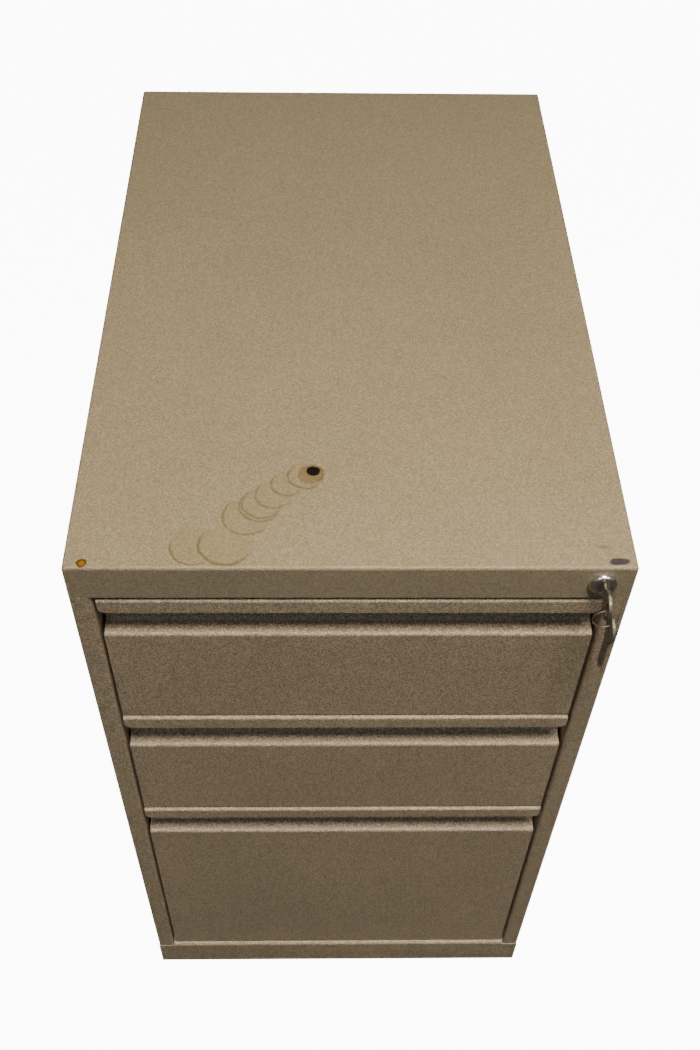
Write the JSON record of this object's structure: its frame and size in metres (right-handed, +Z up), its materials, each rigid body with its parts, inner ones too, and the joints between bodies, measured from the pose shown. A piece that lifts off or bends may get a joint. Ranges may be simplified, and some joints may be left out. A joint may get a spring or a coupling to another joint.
{
  "type": "rolling pedestal cabinet",
  "caption": "Under-desk steel drawer pedestal on casters, with box drawers over a file drawer, full-width finger pulls and a keyed lock in the top's front edge.",
  "frame": {"origin": "on the floor, under the middle of the cabinet's footprint (keys left out)", "axes": "+Z up; the drawers open towards -Y; +X is the right-hand side seen from the front"},
  "size_m": [0.381, 0.617, 0.711],
  "materials": {
    "putty_paint": "fine-textured powder coat, low sheen",
    "drawer_paint": "thin smooth powder coat",
    "zinc_steel": "zinc plated",
    "slide_zinc": "bright zinc, roll-formed",
    "rail_zinc": "zinc plated",
    "fork_zinc": "zinc plated pressing",
    "fastener_zinc": "zinc plated",
    "ball_steel": "polished bearing steel in a bright retainer",
    "lock_chrome": "chrome plated die casting",
    "key_nickel": "worn nickel plate",
    "weight_iron": "as cast, black wash",
    "guide_plastic": "moulded",
    "tray_plastic": "fine-grain moulded",
    "wheel_rubber": "soft black tread on a nylon core"
  },
  "bodies": {
    "cabinet": {"top_panel": "putty_paint", "left_side_panel": "putty_paint", "right_side_panel": "putty_paint", "back_panel": "putty_paint", "front_base_rail": "putty_paint", "base_pan": "putty_paint", "top_crossmember": "putty_paint", "left_uprights": "zinc_steel", "right_uprights": "zinc_steel", "counterweight": "weight_iron", "counterweight_bolts": "fastener_zinc", "drawer_1_left_cabinet_slide": "slide_zinc", "drawer_1_right_cabinet_slide": "slide_zinc", "drawer_2_left_cabinet_slide": "slide_zinc", "drawer_2_right_cabinet_slide": "slide_zinc", "drawer_3_left_cabinet_slide": "slide_zinc", "drawer_3_right_cabinet_slide": "slide_zinc", "caster_plates": "zinc_steel", "caster_screws": "fastener_zinc", "lock_housing": "lock_chrome", "lock_nut": "fastener_zinc", "lock_bar_guides": "guide_plastic"},
    "lock_plug": {"lock_plug": "lock_chrome", "lock_cam": "fastener_zinc", "key": "key_nickel"},
    "key_ring": {"key_ring": "key_nickel"},
    "spare_key": {"spare_key": "key_nickel"},
    "lock_bar": {"lock_bar": "slide_zinc"},
    "drawer_1": {"drawer_1_front": "putty_paint", "drawer_1_body": "drawer_paint", "drawer_1_back": "drawer_paint", "drawer_1_left_runner": "slide_zinc", "drawer_1_right_runner": "slide_zinc", "pencil_tray": "tray_plastic"},
    "drawer_2": {"drawer_2_front": "putty_paint", "drawer_2_body": "drawer_paint", "drawer_2_back": "drawer_paint", "drawer_2_left_runner": "slide_zinc", "drawer_2_right_runner": "slide_zinc", "drawer_2_divider": "drawer_paint"},
    "drawer_3": {"drawer_3_front": "putty_paint", "drawer_3_body": "drawer_paint", "drawer_3_back": "drawer_paint", "drawer_3_left_runner": "slide_zinc", "drawer_3_right_runner": "slide_zinc", "file_rails": "rail_zinc"},
    "drawer_3_middle_slides": {"drawer_3_left_middle_slide": "slide_zinc", "drawer_3_right_middle_slide": "slide_zinc"},
    "drawer_1_ball_cages": {"drawer_1_ball_cages": "ball_steel"},
    "drawer_2_ball_cages": {"drawer_2_ball_cages": "ball_steel"},
    "drawer_3_outer_ball_cages": {"drawer_3_outer_ball_cages": "ball_steel"},
    "drawer_3_inner_ball_cages": {"drawer_3_inner_ball_cages": "ball_steel"},
    "front_left_caster_fork": {"front_left_caster_fork": "fork_zinc"},
    "front_left_caster_wheel": {"front_left_caster_wheel": "wheel_rubber"},
    "front_right_caster_fork": {"front_right_caster_fork": "fork_zinc"},
    "front_right_caster_wheel": {"front_right_caster_wheel": "wheel_rubber"},
    "rear_left_caster_fork": {"rear_left_caster_fork": "fork_zinc"},
    "rear_left_caster_wheel": {"rear_left_caster_wheel": "wheel_rubber"},
    "rear_right_caster_fork": {"rear_right_caster_fork": "fork_zinc"},
    "rear_right_caster_wheel": {"rear_right_caster_wheel": "wheel_rubber"}
  },
  "joints": [
    {"name": "drawer_1_slide", "type": "slide", "parent": "cabinet", "child": "drawer_1", "axis": [0, -1, 0], "range_m": [0, 0.375]},
    {"name": "drawer_2_slide", "type": "slide", "parent": "cabinet", "child": "drawer_2", "axis": [0, -1, 0], "range_m": [0, 0.375]},
    {"name": "drawer_3_slide", "type": "slide", "parent": "cabinet", "child": "drawer_3", "axis": [0, -1, 0], "range_m": [0, 0.5]},
    {"name": "drawer_1_cage_roll", "type": "slide", "parent": "cabinet", "child": "drawer_1_ball_cages", "axis": [0, -1, 0], "range_m": [0, 0.1875]},
    {"name": "drawer_2_cage_roll", "type": "slide", "parent": "cabinet", "child": "drawer_2_ball_cages", "axis": [0, -1, 0], "range_m": [0, 0.1875]},
    {"name": "drawer_3_middle_slide", "type": "slide", "parent": "cabinet", "child": "drawer_3_middle_slides", "axis": [0, -1, 0], "range_m": [0, 0.25]},
    {"name": "drawer_3_outer_cage_roll", "type": "slide", "parent": "cabinet", "child": "drawer_3_outer_ball_cages", "axis": [0, -1, 0], "range_m": [0, 0.125]},
    {"name": "drawer_3_inner_cage_roll", "type": "slide", "parent": "cabinet", "child": "drawer_3_inner_ball_cages", "axis": [0, -1, 0], "range_m": [0, 0.375]},
    {"name": "lock_turn", "type": "hinge", "parent": "cabinet", "child": "lock_plug", "pos_m": [0.1687, -0.295, 0.695], "axis": [0, 1, 0], "range_deg": [0, 90]},
    {"name": "lock_bar_drop", "type": "slide", "parent": "cabinet", "child": "lock_bar", "axis": [0, 0, -1], "range_m": [0, 0.01131]},
    {"name": "key_ring_hang", "type": "hinge", "parent": "lock_plug", "child": "key_ring", "pos_m": [0.1687, -0.3145, 0.6895], "axis": [0, 1, 0], "range_deg": [-90, 0]},
    {"name": "spare_key_swing", "type": "hinge", "parent": "key_ring", "child": "spare_key", "pos_m": [0.174, -0.3145, 0.67924], "axis": [-1, 0, 0], "range_deg": [-15, 60]},
    {"name": "front_left_caster_swivel", "type": "hinge", "parent": "cabinet", "child": "front_left_caster_fork", "pos_m": [-0.125, -0.225, 0.054], "axis": [0, 0, 1], "continuous": true},
    {"name": "front_left_wheel_spin", "type": "hinge", "parent": "front_left_caster_fork", "child": "front_left_caster_wheel", "pos_m": [-0.125, -0.205, 0.025], "axis": [1, 0, 0], "continuous": true},
    {"name": "front_right_caster_swivel", "type": "hinge", "parent": "cabinet", "child": "front_right_caster_fork", "pos_m": [0.125, -0.225, 0.054], "axis": [0, 0, 1], "continuous": true},
    {"name": "front_right_wheel_spin", "type": "hinge", "parent": "front_right_caster_fork", "child": "front_right_caster_wheel", "pos_m": [0.125, -0.205, 0.025], "axis": [1, 0, 0], "continuous": true},
    {"name": "rear_left_caster_swivel", "type": "hinge", "parent": "cabinet", "child": "rear_left_caster_fork", "pos_m": [-0.125, 0.225, 0.054], "axis": [0, 0, 1], "continuous": true},
    {"name": "rear_left_wheel_spin", "type": "hinge", "parent": "rear_left_caster_fork", "child": "rear_left_caster_wheel", "pos_m": [-0.125, 0.245, 0.025], "axis": [1, 0, 0], "continuous": true},
    {"name": "rear_right_caster_swivel", "type": "hinge", "parent": "cabinet", "child": "rear_right_caster_fork", "pos_m": [0.125, 0.225, 0.054], "axis": [0, 0, 1], "continuous": true},
    {"name": "rear_right_wheel_spin", "type": "hinge", "parent": "rear_right_caster_fork", "child": "rear_right_caster_wheel", "pos_m": [0.125, 0.245, 0.025], "axis": [1, 0, 0], "continuous": true}
  ],
  "couplings": [
    {"joint": "drawer_1_cage_roll", "follows": "drawer_1_slide", "ratio": 0.5},
    {"joint": "drawer_2_cage_roll", "follows": "drawer_2_slide", "ratio": 0.5},
    {"joint": "drawer_3_middle_slide", "follows": "drawer_3_slide", "ratio": 0.5},
    {"joint": "drawer_3_outer_cage_roll", "follows": "drawer_3_slide", "ratio": 0.25},
    {"joint": "drawer_3_inner_cage_roll", "follows": "drawer_3_slide", "ratio": 0.75},
    {"joint": "lock_turn", "follows": "lock_bar_drop", "rad_per_m": 138.83},
    {"joint": "key_ring_hang", "follows": "lock_bar_drop", "rad_per_m": -138.83}
  ]
}
